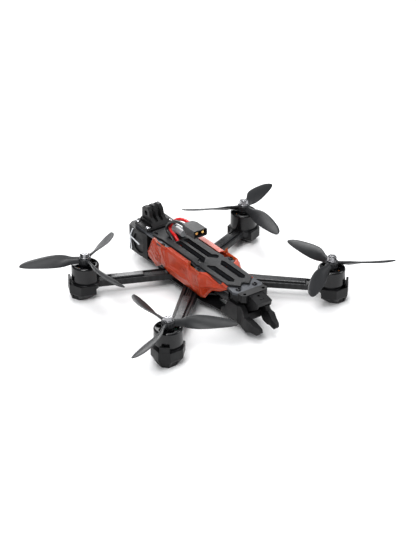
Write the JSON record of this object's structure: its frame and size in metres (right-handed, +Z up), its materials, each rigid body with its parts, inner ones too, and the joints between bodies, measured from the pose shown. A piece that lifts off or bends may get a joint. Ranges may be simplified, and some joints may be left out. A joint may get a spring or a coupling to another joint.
{
  "type": "fpv_racing_drone",
  "caption": "X-frame carbon racing drone with bare motors, tri-blade props, orange side guards, black soft feet, a finned camera mount on the tail and an upright battery plug",
  "frame": {"origin": "on the ground under the feet, at the middle of the bounding box in plan, free battery lead left out", "axes": "+Z up, -Y towards the nose, +X square to the plane that the arms mirror about"},
  "size_m": [0.3144, 0.2282, 0.0706],
  "materials": {
    "carbon": "satin",
    "lead_hood": "satin",
    "wire_sheath": "satin",
    "bearing_steel": "satin",
    "dark_alloy": "satin",
    "winding": "satin",
    "bell_alloy": "satin",
    "prop_plastic": "gloss",
    "black_rubber": "satin",
    "pale_alloy": "satin",
    "grey_rubber": "matte",
    "glossy_liner": "gloss",
    "screw_steel": "satin",
    "circuit_board": "satin",
    "white_plastic": "satin",
    "orange_rubber": "satin",
    "plug_plastic": "satin",
    "gold_plate": "gloss",
    "red_sheath": "satin",
    "black_sheath": "satin",
    "capacitor_sleeve": "satin"
  },
  "bodies": {
    "frame": {"arm_front_left": "carbon", "arm_front_right": "carbon", "arm_rear_left": "carbon", "arm_rear_right": "carbon", "lead_cover_front_left": "lead_hood", "lead_cover_front_right": "lead_hood", "lead_cover_rear_left": "lead_hood", "lead_cover_rear_right": "lead_hood", "motor_leads": "wire_sheath", "motor_bearings": "bearing_steel", "motor_base_front_left": "dark_alloy", "motor_base_front_right": "dark_alloy", "motor_base_rear_left": "dark_alloy", "motor_base_rear_right": "dark_alloy", "stator_front_left": "winding", "stator_front_right": "winding", "stator_rear_left": "winding", "stator_rear_right": "winding", "foot_front_left": "black_rubber", "foot_front_right": "black_rubber", "foot_rear_left": "black_rubber", "foot_rear_right": "black_rubber", "motor_screws": "dark_alloy", "bottom_plate": "carbon", "mid_plate": "carbon", "top_plate": "pale_alloy", "battery_pad": "grey_rubber", "inner_cowl": "glossy_liner", "standoffs": "pale_alloy", "frame_screws": "screw_steel", "speed_controller": "circuit_board", "flight_controller": "circuit_board", "stack_bolts": "screw_steel", "stack_grommets": "black_rubber", "video_transmitter": "pale_alloy", "action_mount": "black_rubber", "tail_bumper": "black_rubber", "receiver_aerial": "white_plastic", "nose_mount": "black_rubber", "front_bumper": "black_rubber", "side_guard_left": "orange_rubber", "side_guard_right": "orange_rubber", "power_plug": "plug_plastic", "plug_pins": "gold_plate", "battery_lead_red": "red_sheath", "battery_lead_black": "black_sheath", "capacitor": "capacitor_sleeve"},
    "rotor_front_left": {"bell_front_left": "bell_alloy", "prop_front_left": "prop_plastic", "prop_nut_front_left": "dark_alloy"},
    "rotor_front_right": {"bell_front_right": "bell_alloy", "prop_front_right": "prop_plastic", "prop_nut_front_right": "dark_alloy"},
    "rotor_rear_left": {"bell_rear_left": "bell_alloy", "prop_rear_left": "prop_plastic", "prop_nut_rear_left": "dark_alloy"},
    "rotor_rear_right": {"bell_rear_right": "bell_alloy", "prop_rear_right": "prop_plastic", "prop_nut_rear_right": "dark_alloy"}
  },
  "joints": [
    {"name": "spin_front_left", "type": "hinge", "parent": "frame", "child": "rotor_front_left", "pos_m": [-0.098, -0.0767, 0.0277], "axis": [0, 0, 1], "continuous": true},
    {"name": "spin_front_right", "type": "hinge", "parent": "frame", "child": "rotor_front_right", "pos_m": [0.098, -0.0767, 0.0277], "axis": [0, 0, 1], "continuous": true},
    {"name": "spin_rear_left", "type": "hinge", "parent": "frame", "child": "rotor_rear_left", "pos_m": [-0.098, 0.0707, 0.0277], "axis": [0, 0, 1], "continuous": true},
    {"name": "spin_rear_right", "type": "hinge", "parent": "frame", "child": "rotor_rear_right", "pos_m": [0.098, 0.0707, 0.0277], "axis": [0, 0, 1], "continuous": true}
  ]
}
